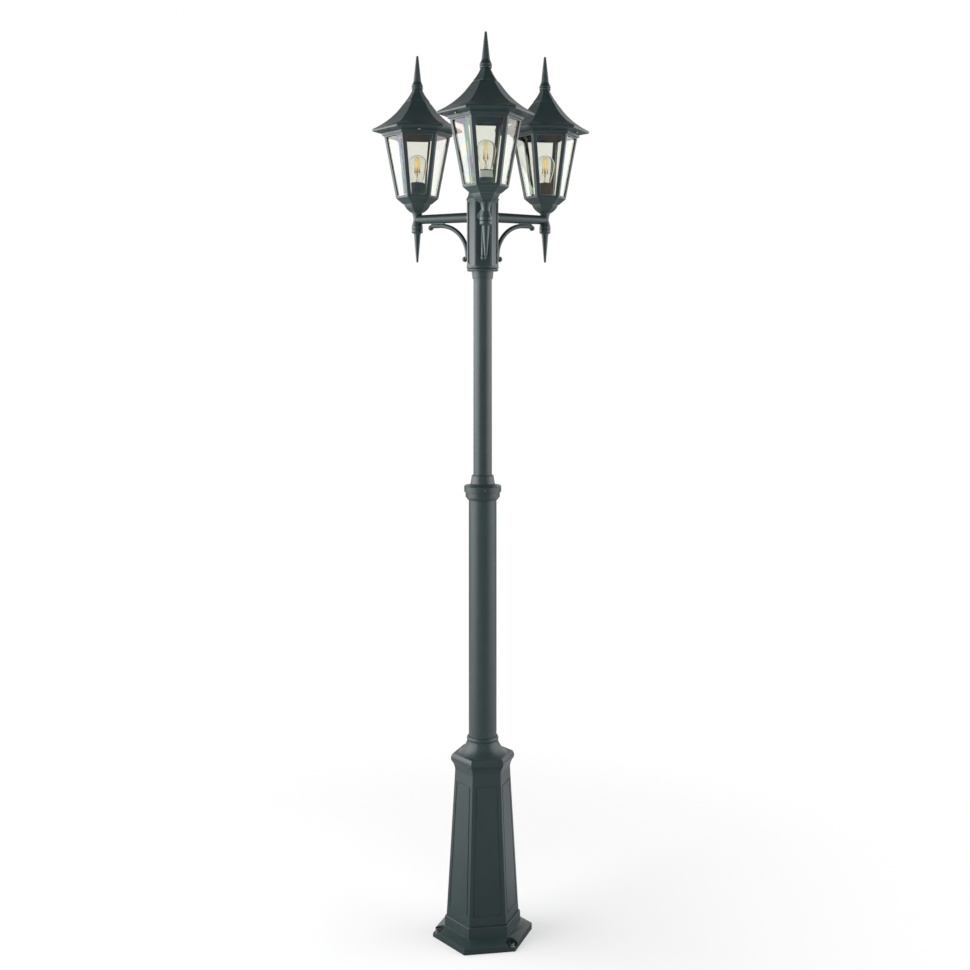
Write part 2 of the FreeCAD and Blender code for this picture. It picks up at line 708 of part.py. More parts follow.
def pendant():
    """Bead and drop point that screw on the stem below the hub, in the lantern's own heights."""
    top = hub_bottom
    bead, edge = top - pendant_bead_height, pendant_bead_radius
    solid = turned([
        (0, top), (edge - bead_chamfer, top), (edge, top - bead_chamfer), (edge, bead + bead_slope),
        ("arc", (edge - bead_slope * 0.56, bead + bead_slope * 0.24),
         (pendant_shoulder_radius + pendant_collar_width, bead)),
        (pendant_shoulder_radius, bead - 2 * pendant_collar_width)]
        + blunt_point(pendant_tip_radius, top - pendant_length, -1))
    return solid.cut(cylinder(stem_radius + stem_fit, top - pendant_thread_depth, top + cut_margin))


def stem_tube():
    low = hub_bottom - pendant_thread_depth + joint_gap
    return tube(stem_radius, stem_bore_radius, low, floor_top + holder_foot * 0.75)


# Lantern.
def cage_radius(z):
    return along(cage_bottom_radius, cage_top_radius, cage_bottom, cage_top, z)


def face_window(margin, low, high):
    """Opening in one face between the bars, as a prism along X."""
    return face_prism(trapezoid(cage_radius(low) / 2 - margin, cage_radius(high) / 2 - margin, low, high),
                      cage_bottom_radius / 3, cage_top_radius * 1.1)


def cage_taper(offset, low, high):
    """Hexagonal taper parallel to the cage's outside, set in by an offset square to the faces."""
    inset = offset / flat_of
    return hexed([(cage_radius(low) - inset, low), (cage_radius(high) - inset, high)])


def cage():
    solid = cage_taper(0, cage_bottom, cage_top).cut(cage_taper(cage_wall, floor_top, cage_top + cut_margin))
    window = face_window(bar_width, cage_bottom + bottom_rail, cage_top - top_rail)
    solid = solid.cut(around(window, 6))
    return solid.cut(cylinder(stem_radius + stem_fit, cage_bottom - cut_margin, floor_top + cut_margin))


def glass_panes():
    high = cage_top - pane_top_gap
    shell = cage_taper(cage_wall, floor_top, high).cut(
        cage_taper(cage_wall + pane_thickness, floor_top - cut_margin, high + cut_margin))
    return around(shell.common(face_window(bar_width - pane_overlap, floor_top, high)), 6)


def lantern_base():
    outside = hexed([
        (bowl_bottom_radius, 0),
        ("arc", (bowl_belly_radius, bowl_belly_height), (bowl_step_radius, bowl_step_height - bowl_step_edge)),
        (bowl_step_radius + bowl_step_overhang, bowl_step_height),
        (cage_bottom_radius, bowl_height)])
    wall = bowl_wall / flat_of
    inside = hexed([
        (bowl_bottom_radius - wall, bowl_wall), (bowl_belly_radius - wall, bowl_belly_height + bowl_wall),
        (bowl_step_radius - wall, bowl_step_height + bowl_step_edge),
        (cage_bottom_radius - wall, bowl_height + cut_margin)])
    return outside.cut([inside, cylinder(stem_radius + stem_fit, -cut_margin, bowl_wall + cut_margin)])


def lampholder(top, outer):
    """Dark lampholder with a lip round its foot, standing on the cage's floor."""
    base, lip = floor_top, floor_top + holder_lip_height
    return turned([
        (stem_radius + stem_fit, base), (outer + holder_lip, base), (outer + holder_lip, lip),
        (outer, lip + holder_lip), (outer, top - holder_edge), (outer - holder_edge, top),
        (holder_bore_radius, top), (holder_bore_radius, base + holder_foot),
        (stem_radius + stem_fit, base + holder_foot)])


def pale_collar():
    """Bare insulating collar on the front lampholder's foot."""
    low = floor_top + collar_split_height
    return turned([
        (holder_bore_radius, low), (pale_collar_radius, low), (pale_collar_radius, low + pale_collar_foot),
        (pale_collar_top_radius, holder_top - holder_edge), (pale_collar_top_radius - holder_edge, holder_top),
        (holder_bore_radius, holder_top)])


def lamp_cap():
    """Screw cap: contact, insulator and rolled thread turns."""
    low, high = lamp_bottom, lamp_neck
    valley = lamp_cap_radius - lamp_thread_depth
    pitch = (high - low - lamp_thread_start - lamp_cap_rim - lamp_thread_depth) / lamp_thread_turns
    path = [(0, low), (lamp_contact_radius, low), (lamp_contact_radius, low + lamp_contact_height),
            (lamp_skirt_radius, low + lamp_skirt_height), (valley, low + lamp_thread_start)]
    for index in range(lamp_thread_turns):
        z = low + lamp_thread_start + index * pitch
        path.append(("arc", (lamp_cap_radius, z + pitch / 2), (valley, z + pitch)))
    return turned(path + [(lamp_cap_radius, high - lamp_cap_rim), (lamp_cap_radius, high), (0, high)])


def lamp_outline(inset):
    """Bulb outline from its neck to its crown, moved inwards by the inset."""
    low, belly = lamp_neck + inset, lamp_neck + lamp_belly_height
    neck, crown = lamp_neck_radius - inset, lamp_radius - inset
    flare = (lamp_neck_radius * 0.45 + lamp_radius * 0.55 - inset, lamp_neck + lamp_belly_height / 2)
    half = crown * math.cos(math.radians(45))
    return [(0, low), (neck, low), (neck, lamp_neck + lamp_neck_height),
            ("arc", flare, (crown, belly)), ("arc", (half, belly + half), (0, belly + crown))]


def lamp_glass():
    """Clear bulb, blown as one thin closed shell round its filament."""
    return turned(lamp_outline(0)).cut(turned(lamp_outline(lamp_wall)))


def rod(start, end, radius):
    way = end - start
    return Part.makeCylinder(radius, way.Length, start, way)


def lamp_filament():
    """Glass stem with its leaning filament rods, joined by the lead wires at both ends."""
    base = lamp_neck + lamp_wall
    rod_foot_z = lamp_neck + filament_base_height
    stem_top, high = rod_foot_z - lead_wire_rise, rod_foot_z + filament_length
    stem = turned([(0, base), (lamp_stem_foot_radius, base), (lamp_stem_radius, base + lamp_stem_foot_height),
                   (lamp_stem_radius * 0.6, stem_top), (0, stem_top)])
    pieces = [stem, cylinder(lead_wire_radius, stem_top - lead_wire_radius, high)]
    for way in [heading(45 + index * 360.0 / filament_count) for index in range(filament_count)]:
        low_end = way * filament_spread + Vector(0, 0, rod_foot_z)
        high_end = way * (filament_spread - filament_lean) + Vector(0, 0, high)
        pieces.append(rod(low_end, high_end, filament_radius))
        pieces.append(rod(Vector(0, 0, stem_top - lead_wire_radius), low_end, lead_wire_radius))
        pieces.append(rod(Vector(0, 0, high - lead_wire_radius), high_end, lead_wire_radius))
    return joined(pieces)


def roof_sweep():
    """Corner outline of the roof's top side, from the eave's upper edge to the flat under the cap."""
    return [(roof_eave_radius - roof_lip_round, eave_top),
            ("arc", (roof_middle_radius, eave_top + roof_middle_rise),
             (roof_sweep_radius, eave_top + roof_sweep_rise)),
            (roof_top_radius, roof_top)]


def roof():
    """Hexagonal pagoda roof with its lip, soffit, skirt and inner ledge."""
    skirt_inner = cage_top_radius + roof_skirt_clearance
    ledge, ledge_radius = cage_top + joint_gap, skirt_inner - roof_ledge
    sweep = roof_sweep()
    outside = hexed([
        (roof_skirt_radius, skirt_bottom), (roof_skirt_radius, eave_bottom - roof_soffit_rise),
        (roof_soffit_radius, eave_bottom), (roof_eave_radius - roof_lip_round / 2, eave_bottom),
        ("arc", (roof_eave_radius, eave_bottom + roof_lip * 0.4), sweep[0])] + sweep[1:])
    attic = moved(hexed([(roof_eave_radius, skirt_bottom)] + sweep), 0, 0, -roof_wall_drop)
    attic = attic.common(hexed([(ledge_radius, ledge), (ledge_radius, roof_top)]))
    boss_bottom = roof_top - roof_boss_depth
    attic = attic.cut(cylinder(roof_boss_radius, boss_bottom, roof_top))
    seat = hexed([(skirt_inner, skirt_bottom - cut_margin), (skirt_inner, ledge)])
    stud_hole = cylinder(finial_stud_radius + stem_fit, boss_bottom - cut_margin, roof_top + cut_margin)
    shank_hole = cylinder(roof_screw_shank_radius, 0, soffit_height() + roof_screw_shank_length,
                          roof_screw_distance)
    return outside.cut([attic, seat, stud_hole] + around(shank_hole, 2, roof_screw_angle))


def soffit_height():
    """Height of the sloping soffit where the roof screws stand."""
    return along(eave_bottom - roof_soffit_rise, eave_bottom, roof_skirt_radius * flat_of,
                 roof_soffit_radius * flat_of, roof_screw_distance)


def roof_screw():
    """Slotted pan-head screw that stands up into the eave."""
    seat = soffit_height()
    under = seat - roof_screw_head_gap
    bottom, end = seat - roof_screw_head_height, seat + roof_screw_shank_length - roof_screw_end_gap
    edge, turn = roof_screw_head_radius, roof_screw_head_round
    screw = turned([
        (0, bottom), (edge - turn, bottom),
        ("arc", (edge - turn * 0.3, bottom + turn * 0.3), (edge, bottom + turn)),
        (edge, under), (roof_screw_shank_radius, under), (roof_screw_shank_radius, end), (0, end)])
    slot = block(edge * 3, roof_screw_slot, bottom - cut_margin, bottom + roof_screw_slot)
    return moved(screw.cut(slot), roof_screw_distance)


def roof_cap():
    """Concave hexagonal cap that covers the roof's flat."""
    solid = hexed([
        (roof_cap_radius, roof_top), (roof_cap_radius - roof_cap_draft, roof_top + roof_cap_edge),
        ("arc", (roof_cap_middle_radius, roof_top + roof_cap_middle_height),
         (roof_cap_top_radius, roof_cap_top))])
    return solid.cut(cylinder(finial_stud_radius + stem_fit, roof_top - cut_margin, roof_cap_top + cut_margin))


def finial():
    """Double bead, flare and spike, with the stud that clamps the cap on the roof."""
    base = roof_cap_top
    groove, bead = base + finial_bead_height * finial_bead_split, base + finial_bead_height
    flare = bead + finial_flare_height
    valley = finial_bead_radius - finial_bead_groove
    solid = turned([
        (0, base), (finial_bead_radius - finial_foot_inset, base),
        ("arc", (finial_bead_radius, (base + groove) / 2), (valley, groove)),
        ("arc", (finial_bead_radius, (groove + bead) / 2), (valley, bead)),
        (finial_spike_radius, flare)] + blunt_point(finial_tip_radius, flare + finial_spike_length, 1))
    return joined([solid, cylinder(finial_stud_radius, base - finial_stud_length, base + cut_margin)])


def lantern_parts():
    """Every piece of one lantern on the Z axis, its outward side towards +X."""
    return {
        "lantern_base": [lantern_base()],
        "cage": [cage()],
        "glass": glass_panes(),
        "lampholder": [lampholder(holder_top, holder_radius)],
        "lamp_cap": [lamp_cap()],
        "lamp_glass": [lamp_glass()],
        "lamp_filament": [lamp_filament()],
        "roof": [roof()],
        "roof_cap": [roof_cap()],
        "finial": [finial()],
        "roof_screws": around(roof_screw(), 2, roof_screw_angle),
    }


def on_arm(shape, angle, turn=0.0):
    """Places a lantern-frame shape at the end of the arm that points at the angle."""
    copy = spun(shape, turn)
    copy.translate(Vector(arm_reach, 0, seat_z))
    return spun(copy, angle)


def head_parts():
    add("capital_neck", capital_neck())
    add("capital_body", capital_body())
    add("capital_cap", capital_cap())
    add("terminal_block", terminal_block())
    pieces = lantern_parts()
    arm_shape, scroll_shape, pendant_shape, stem = arm(), scroll(), pendant(), stem_tube()
    for side, angle in arm_angles.items():
        add(side + "_arm", spun(arm_shape, angle))
        add(side + "_scroll", spun(scroll_shape, angle))
        add(side + "_pendant", on_arm(pendant_shape, angle))
        for name, shapes in pieces.items():
            turn = cap_turns[side] if name == "roof_cap" else lantern_turn
            add(side + "_" + name, *[on_arm(shape, angle, turn) for shape in shapes])
    add("lantern_stems", *[on_arm(stem, angle) for angle in arm_angles.values()])
    front = arm_angles["front"]
    add("front_lampholder", on_arm(lampholder(floor_top + collar_split_height, holder_radius), front))
    add("front_pale_collar", on_arm(pale_collar(), front))


def main():
    post_parts()
    head_parts()
    os.makedirs("parts", exist_ok=True)
    for name, shape in nodes.items():
        shape.exportStep("parts/" + name + ".step")
        print(name, len(shape.Solids), round(shape.Volume / 1000.0, 1), shape.isValid())
    print(len(nodes), "nodes, height", round(max(shape.BoundBox.ZMax for shape in nodes.values()), 1))


main()
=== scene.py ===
# Triple head lamp post: the finish of its castings and tubes, its bevelled panes, its lamps and fastenings,
# and a plain white studio with large soft lights on either side and in front.
import json
import math
import bmesh
import bpy
from mathutils import Matrix, Vector


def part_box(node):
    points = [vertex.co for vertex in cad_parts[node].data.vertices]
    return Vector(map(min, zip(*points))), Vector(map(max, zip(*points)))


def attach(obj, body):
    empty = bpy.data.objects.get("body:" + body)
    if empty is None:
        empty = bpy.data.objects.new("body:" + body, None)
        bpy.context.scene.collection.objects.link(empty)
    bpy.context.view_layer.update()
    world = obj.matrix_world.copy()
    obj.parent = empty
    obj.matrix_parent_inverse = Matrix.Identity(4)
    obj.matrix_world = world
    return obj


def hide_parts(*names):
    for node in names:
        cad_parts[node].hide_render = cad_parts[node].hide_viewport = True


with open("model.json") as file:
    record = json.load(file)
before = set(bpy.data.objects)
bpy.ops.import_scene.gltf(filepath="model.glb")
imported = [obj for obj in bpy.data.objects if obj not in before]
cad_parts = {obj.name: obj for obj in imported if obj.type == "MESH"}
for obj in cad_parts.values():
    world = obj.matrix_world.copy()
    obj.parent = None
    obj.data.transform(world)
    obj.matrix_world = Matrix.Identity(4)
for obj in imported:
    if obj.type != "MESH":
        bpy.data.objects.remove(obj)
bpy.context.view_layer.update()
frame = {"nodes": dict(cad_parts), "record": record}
nodes = frame["nodes"]
bodyOf = {node: body for body, members in frame["record"]["behaviour"]["bodies"].items() for node in members}
slotOf = {part["node"]: part["material_slot"] for part in frame["record"]["subparts"]}
sides = ("front", "right", "left")
cleaning = {"mergeDistance": 2e-6, "flatWithin": 0.4}   # metres, degrees
print("frame loaded:", len(nodes), "nodes")


def lanternAxis(side):
    low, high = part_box(side + "_lamp_cap")
    return Vector(((low.x + high.x) / 2, (low.y + high.y) / 2, 0))


def meshObject(name, mesh, material):
    piece = bpy.data.objects.new(name, mesh)
    bpy.context.scene.collection.objects.link(piece)
    mesh.materials.clear()
    mesh.materials.append(material)
    return piece


def bakeModifiers(piece):
    # the piece as its modifiers leave it, now a plain mesh
    graph = bpy.context.evaluated_depsgraph_get()
    mesh = bpy.data.meshes.new_from_object(piece.evaluated_get(graph))
    piece.modifiers.clear()
    piece.data = mesh
    return piece


def smoothBelow(mesh, degrees):
    mesh.polygons.foreach_set("use_smooth", [True] * len(mesh.polygons))
    mesh.set_sharp_from_angle(angle=math.radians(degrees))


def finished(name, shape, material, sharpAngle=35):
    mesh = bpy.data.meshes.new(name)
    shape.to_mesh(mesh)
    shape.free()
    smoothBelow(mesh, sharpAngle)
    return meshObject(name, mesh, material)


def join(piece, body):
    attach(piece, body)
    return piece


def standFor(piece, node):
    # the piece takes the node's place and body, and the node is hidden
    join(piece, bodyOf[node])
    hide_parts(node)
    return piece


def mergedCopy(node):
    cleaned = bmesh.new()
    cleaned.from_mesh(nodes[node].data)
    bmesh.ops.remove_doubles(cleaned, verts=cleaned.verts, dist=cleaning["mergeDistance"])
    bmesh.ops.dissolve_limit(cleaned, angle_limit=math.radians(cleaning["flatWithin"]), verts=cleaned.verts,
                             edges=cleaned.edges)
    return cleaned


def lathe(profile, centre, segments, closed=True):
    # (radius, height) points spun round an upright axis
    spun = bmesh.new()
    rings = []
    for radius, height in profile:
        if radius == 0:
            rings.append([spun.verts.new((centre.x, centre.y, height))])
            continue
        ring = []
        for step in range(segments):
            angle = 2 * math.pi * step / segments
            ring.append(spun.verts.new((centre.x + radius * math.cos(angle),
                                        centre.y + radius * math.sin(angle), height)))
        rings.append(ring)
    pairs = list(zip(rings, rings[1:] + rings[:1] if closed else rings[1:]))
    for below, above in pairs:
        if len(below) == 1 and len(above) == 1:
            continue
        for step in range(segments):
            after = (step + 1) % segments
            corners = [below[step % len(below)], below[after % len(below)],
                       above[after % len(above)], above[step % len(above)]]
            spun.faces.new(list(dict.fromkeys(corners)))
    bmesh.ops.recalc_face_normals(spun, faces=spun.faces)
    return spun


def arcThrough(start, middle, end, count):
    # points on the round arc through three (radius, height) points
    (ax, ay), (bx, by), (cx, cy) = start, middle, end
    double = 2 * (ax * (by - cy) + bx * (cy - ay) + cx * (ay - by))
    aa, bb, cc = ax * ax + ay * ay, bx * bx + by * by, cx * cx + cy * cy
    x = (aa * (by - cy) + bb * (cy - ay) + cc * (ay - by)) / double
    y = (aa * (cx - bx) + bb * (ax - cx) + cc * (bx - ax)) / double
    radius = math.hypot(ax - x, ay - y)
    first = math.atan2(ay - y, ax - x)
    sweep = math.remainder(math.atan2(by - y, bx - x) - first, 2 * math.pi)
    sweep += math.remainder(math.atan2(cy - y, cx - x) - first - sweep, 2 * math.pi)
    angles = [first + sweep * step / count for step in range(count + 1)]
    return [(x + radius * math.cos(angle), y + radius * math.sin(angle)) for angle in angles]


# Materials: each is procedural and reads the object's own coordinates.
def newMaterial(name):
    material = bpy.data.materials.new(name)
    material.use_nodes = True
    tree = material.node_tree
    return material, tree.nodes, tree.links, tree.nodes["Principled BSDF"]


def noiseNode(nodesOf, links, coordinates, scale, detail=3.0):
    noise = nodesOf.new("ShaderNodeTexNoise")
    noise.inputs["Scale"].default_value = scale
    noise.inputs["Detail"].default_value = detail
    links.new(coordinates.outputs["Object"], noise.inputs["Vector"])
    return noise.outputs["Fac"]


def ranged(nodesOf, links, source, low, high, fromLow=0.3, fromHigh=0.7):
    node = nodesOf.new("ShaderNodeMapRange")
    node.inputs["From Min"].default_value = fromLow
    node.inputs["From Max"].default_value = fromHigh
    node.inputs["To Min"].default_value = low
    node.inputs["To Max"].default_value = high
    links.new(source, node.inputs["Value"])
    return node.outputs["Result"]


def product(nodesOf, links, first, second):
    node = nodesOf.new("ShaderNodeMath")
    node.operation = "MULTIPLY"
    links.new(first, node.inputs[0])
    links.new(second, node.inputs[1])
    return node.outputs[0]


def mixedColour(nodesOf, links, factor, first, second):
    # either colour may be a socket or three numbers
    node = nodesOf.new("ShaderNodeMix")
    node.data_type = "RGBA"
    links.new(factor, node.inputs["Factor"])
    for name, value in (("A", first), ("B", second)):
        if isinstance(value, tuple):
            node.inputs[name].default_value = (*value, 1)
        else:
            links.new(value, node.inputs[name])
    return node.outputs["Result"]


def powderCoat(name, look):
    material, nodesOf, links, shader = newMaterial(name)
    place = nodesOf.new("ShaderNodeTexCoord")
    surface = nodesOf.new("ShaderNodeNewGeometry")
    upright = nodesOf.new("ShaderNodeSeparateXYZ")
    links.new(surface.outputs["Normal"], upright.inputs[0])
    patches = noiseNode(nodesOf, links, place, look["patchesPerMetre"])
    grain = noiseNode(nodesOf, links, place, look["grainPerMetre"], detail=2.0)
    patchy = ranged(nodesOf, links, patches, 0.0, 1.0)
    colour = mixedColour(nodesOf, links, patchy, look["dark"], look["light"])
    # the marked edge faces are painted lighter in patches, partly as wear and partly as a painted highlight
    edges = nodesOf.new("ShaderNodeAttribute")
    edges.attribute_name = "sheenAndWearFaces"
    sheenAndWearAmount = ranged(nodesOf, links, edges.outputs["Fac"], 0.0, look["sheenAndWearStrength"], 0.0, 1.0)
    sheenAndWearMask = product(nodesOf, links, sheenAndWearAmount, patches)
    colour = mixedColour(nodesOf, links, sheenAndWearMask, colour, look["sheenAndWearColour"])
    dust = ranged(nodesOf, links, upright.outputs["Z"], 0.0, look["dust"], *look["dustRange"])
    settled = product(nodesOf, links, dust, patches)
    colour = mixedColour(nodesOf, links, settled, colour, look["dustColour"])
    links.new(colour, shader.inputs["Base Color"])
    links.new(ranged(nodesOf, links, grain, *look["roughness"]), shader.inputs["Roughness"])
    relief = nodesOf.new("ShaderNodeBump")
    relief.inputs["Strength"].default_value = look["reliefStrength"]
    relief.inputs["Distance"].default_value = look["reliefDepth"]
    links.new(grain, relief.inputs["Height"])
    links.new(relief.outputs["Normal"], shader.inputs["Normal"])
    shader.inputs["IOR"].default_value = look["ior"]
    return material


# lengths in metres, noise in patches or grains for each metre
# the edge colour and its strength paint the rounded edges lighter: partly wear, partly a painted highlight
coatLook = {"dark": (0.0135, 0.0290, 0.0305), "light": (0.0160, 0.0335, 0.0350), "patchesPerMetre": 22,
            "grainPerMetre": 900, "roughness": (0.30, 0.40), "reliefStrength": 0.3, "reliefDepth": 0.0001,
            "ior": 1.5, "sheenAndWearStrength": 0.9, "sheenAndWearColour": (0.11, 0.14, 0.14),
            "dust": 0.08, "dustColour": (0.07, 0.08, 0.075), "dustRange": (0.35, 0.95)}
castLook = dict(coatLook, dark=(0.0155, 0.0315, 0.0330), light=(0.0180, 0.0365, 0.0380), grainPerMetre=620,
                roughness=(0.36, 0.46), reliefStrength=0.45, reliefDepth=0.00018)
tubeLook = dict(coatLook, dark=(0.0190, 0.0350, 0.0365), light=(0.0220, 0.0400, 0.0420),
                roughness=(0.38, 0.46))
castCoat = powderCoat("castCoat", castLook)
tubeCoat = powderCoat("tubeCoat", tubeLook)
turnedCoat = powderCoat("turnedCoat", coatLook)


metalLook = {"marksDepth": 0.00003, "markShade": 0.72}


def metal(name, colour, roughness, marksPerMetre):
    material, nodesOf, links, shader = newMaterial(name)
    place = nodesOf.new("ShaderNodeTexCoord")
    marks = noiseNode(nodesOf, links, place, marksPerMetre)
    shader.inputs["Metallic"].default_value = 1.0
    darker = tuple(channel * metalLook["markShade"] for channel in colour)
    links.new(mixedColour(nodesOf, links, ranged(nodesOf, links, marks, 0.0, 1.0), darker, colour),
              shader.inputs["Base Color"])
    links.new(ranged(nodesOf, links, marks, *roughness), shader.inputs["Roughness"])
    bump = nodesOf.new("ShaderNodeBump")
    bump.inputs["Distance"].default_value = metalLook["marksDepth"]
    links.new(marks, bump.inputs["Height"])
    links.new(bump.outputs["Normal"], shader.inputs["Normal"])
    return material


zinc = metal("zinc", colour=(0.60, 0.61, 0.62), roughness=(0.3, 0.5), marksPerMetre=300)
blackScrew = metal("blackScrew", colour=(0.26, 0.27, 0.28), roughness=(0.25, 0.38), marksPerMetre=500)
threadMetal = metal("threadMetal", colour=(0.72, 0.71, 0.68), roughness=(0.18, 0.3), marksPerMetre=400)
leadWire = metal("leadWire", colour=(0.30, 0.22, 0.12), roughness=(0.3, 0.45), marksPerMetre=800)


mouldedLook = {"cloudsPerMetre": 140, "speckle": 0.06}


def moulded(name, colour, roughness):
    material, nodesOf, links, shader = newMaterial(name)
    place = nodesOf.new("ShaderNodeTexCoord")
    cloud = noiseNode(nodesOf, links, place, mouldedLook["cloudsPerMetre"])
    darker = tuple(channel * (1 - mouldedLook["speckle"]) for channel in colour)
    lighter = tuple(min(1.0, channel * (1 + mouldedLook["speckle"])) for channel in colour)
    links.new(mixedColour(nodesOf, links, cloud, darker, lighter), shader.inputs["Base Color"])
    links.new(ranged(nodesOf, links, cloud, *roughness), shader.inputs["Roughness"])
    return material


holderBlack = moulded("holderBlack", colour=(0.016, 0.020, 0.022), roughness=(0.4, 0.55))
holderPale = moulded("holderPale", colour=(0.86, 0.93, 0.87), roughness=(0.3, 0.45))
terminalPlastic = moulded("terminalPlastic", colour=(0.72, 0.70, 0.64), roughness=(0.45, 0.6))
bushPlastic = moulded("bushPlastic", colour=(0.04, 0.04, 0.04), roughness=(0.5, 0.65))


def clearGlass(name, look):
    material, nodesOf, links, shader = newMaterial(name)
    place = nodesOf.new("ShaderNodeTexCoord")
    ripple = noiseNode(nodesOf, links, place, look["ripplesPerMetre"], detail=1.0)
    links.new(ranged(nodesOf, links, ripple, *look["roughness"]), shader.inputs["Roughness"])
    tint = mixedColour(nodesOf, links, ripple, look["tint"], look["otherTint"])
    links.new(tint, shader.inputs["Base Color"])
    shader.inputs["Transmission Weight"].default_value = 1.0
    shader.inputs["IOR"].default_value = look["ior"]
    film = noiseNode(nodesOf, links, place, look["filmPerMetre"], detail=1.0)
    links.new(ranged(nodesOf, links, film, *look["film"]), shader.inputs["Thin Film Thickness"])
    shader.inputs["Thin Film IOR"].default_value = look["filmIor"]
    return material


paneGlass = clearGlass("paneGlass", {"tint": (0.88, 0.89, 0.835), "otherTint": (0.90, 0.90, 0.86), "ior": 1.5,
                                     "ripplesPerMetre": 14, "roughness": (0.0, 0.02), "film": (300, 620),
                                     "filmPerMetre": 11, "filmIor": 1.43})
bulbGlass = clearGlass("bulbGlass", {"tint": (0.96, 0.95, 0.90), "otherTint": (0.98, 0.97, 0.93), "ior": 1.46,
                                     "ripplesPerMetre": 40, "roughness": (0.0, 0.01), "film": (300, 500),
                                     "filmPerMetre": 20, "filmIor": 1.42})


# Upright rods of the lamp: their base is over the foot of the glass, and endShape holds points on the round
# end as shares of the radius.
rodLook = {"count": 4, "radius": 0.0018, "length": 0.0445, "spread": 0.0072, "lean": 0.0030, "base": 0.0335,
           "endShape": ((0.4, 0.08), (0.8, 0.4), (1.0, 1.0)), "endSteps": 4, "segments": 14}


def amberRod(name, look):
    # pale upper rods that run into a dark amber foot
    material, nodesOf, links, shader = newMaterial(name)
    place = nodesOf.new("ShaderNodeTexCoord")
    beads = noiseNode(nodesOf, links, place, look["beadsPerMetre"], detail=1.0)
    height = nodesOf.new("ShaderNodeSeparateXYZ")
    links.new(place.outputs["Object"], height.inputs[0])
    beaded = ranged(nodesOf, links, beads, 0.0, 1.0)
    colour = mixedColour(nodesOf, links, beaded, look["deep"], look["bright"])
    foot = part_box("front_lamp_glass")[0].z + rodLook["base"]
    low, high = [foot + share * rodLook["length"] for share in look["footRange"]]
    rise = ranged(nodesOf, links, height.outputs["Z"], 0.0, 1.0, low, high)
    colour = mixedColour(nodesOf, links, rise, look["foot"], colour)
    links.new(colour, shader.inputs["Base Color"])
    links.new(colour, shader.inputs["Emission Color"])
    links.new(ranged(nodesOf, links, beads, *look["roughness"]), shader.inputs["Roughness"])
    shader.inputs["Emission Strength"].default_value = look["glow"]
    return material


filamentAmber = amberRod("filamentAmber", {"deep": (0.86, 0.58, 0.16), "bright": (0.98, 0.84, 0.42),
                                           "foot": (0.24, 0.11, 0.02), "footRange": (0.05, 0.4),
                                           "beadsPerMetre": 500, "roughness": (0.4, 0.6), "glow": 0.6})

slotMaterial = {"powder_coat": turnedCoat, "cast_coat": castCoat, "tube_coat": tubeCoat,
                "galvanised": zinc, "dark_screw": blackScrew, "cap_metal": threadMetal,
                "pane": paneGlass, "bulb_glass": bulbGlass, "filament": filamentAmber,
                "holder_black": holderBlack, "holder_pale": holderPale,
                "bush_plastic": bushPlastic, "terminal_plastic": terminalPlastic}
for node, piece in nodes.items():
    piece.data.materials.clear()
    piece.data.materials.append(slotMaterial[slotOf[node]])
print("materials made:", len(bpy.data.materials))

# Castings: the cast edges are rounded, each by its own width in metres.
castingEdges = {"base_pedestal": 0.0012, "capital_body": 0.0008, "capital_cap": 0.0009}
for side in sides:
    castingEdges.update({side + "_roof": 0.0011, side + "_roof_cap": 0.0008, side + "_cage": 0.0007,
                         side + "_lantern_base": 0.0009})
castingLook = {"sharpAngle": 32, "segments": 2, "flatWeight": 100}


def rounded(piece, width, look):
    # the new faces along the edges are marked, so that the coat is painted lighter there: partly wear, partly
    # a painted highlight on the rounded edges
    piece.data.materials.append(piece.data.materials[0])
    rounding = piece.modifiers.new("roundedEdges", "BEVEL")
    rounding.material = 1
    rounding.limit_method = "ANGLE"
    rounding.angle_limit = math.radians(look["sharpAngle"])
    rounding.width = width
    rounding.segments = look["segments"]
    rounding.harden_normals = False
    rounding.use_clamp_overlap = True
    bakeModifiers(piece)
    mesh = piece.data
    sheenAndWearMask = mesh.attributes.new("sheenAndWearFaces", "FLOAT", "FACE")
    sheenAndWearMask.data.foreach_set("value", [float(face.material_index) for face in mesh.polygons])
    mesh.polygons.foreach_set("material_index", [0] * len(mesh.polygons))
    mesh.materials.pop()
    smoothBelow(mesh, look["sharpAngle"])
    flats = piece.modifiers.new("flatsStayFlat", "WEIGHTED_NORMAL")
    flats.keep_sharp = True
    flats.weight = look["flatWeight"]
    return bakeModifiers(piece)


for node, width in castingEdges.items():
    casting = finished(node + "_cast", mergedCopy(node), slotMaterial[slotOf[node]])
    standFor(rounded(casting, width, castingLook), node)
print("castings rounded:", len(castingEdges))

# Panes: each keeps its size and gets a ground bevel all round its outward face.
paneLook = {"bevelWidth": 0.0075, "bevelDepth": 0.0011, "sharpAngle": 2, "outwardAbove": 0.8}


def bevelledPanes(side):
    node = side + "_glass"
    shape = mergedCopy(node)
    axis = lanternAxis(side)
    outward = []
    for face in shape.faces:
        middle = face.calc_center_median() - axis
        middle.z = 0
        if face.normal.dot(middle.normalized()) > paneLook["outwardAbove"]:
            outward.append(face)
    for face in outward:
        normal = face.normal.copy()
        rim = list(face.verts)
        bmesh.ops.inset_region(shape, faces=[face], thickness=paneLook["bevelWidth"], use_even_offset=True)
        for vertex in rim:
            vertex.co -= normal * paneLook["bevelDepth"]
    return standFor(finished(side + "_bevelled_panes", shape, paneGlass, paneLook["sharpAngle"]), node)


for side in sides:
    bevelledPanes(side)
print("panes bevelled")


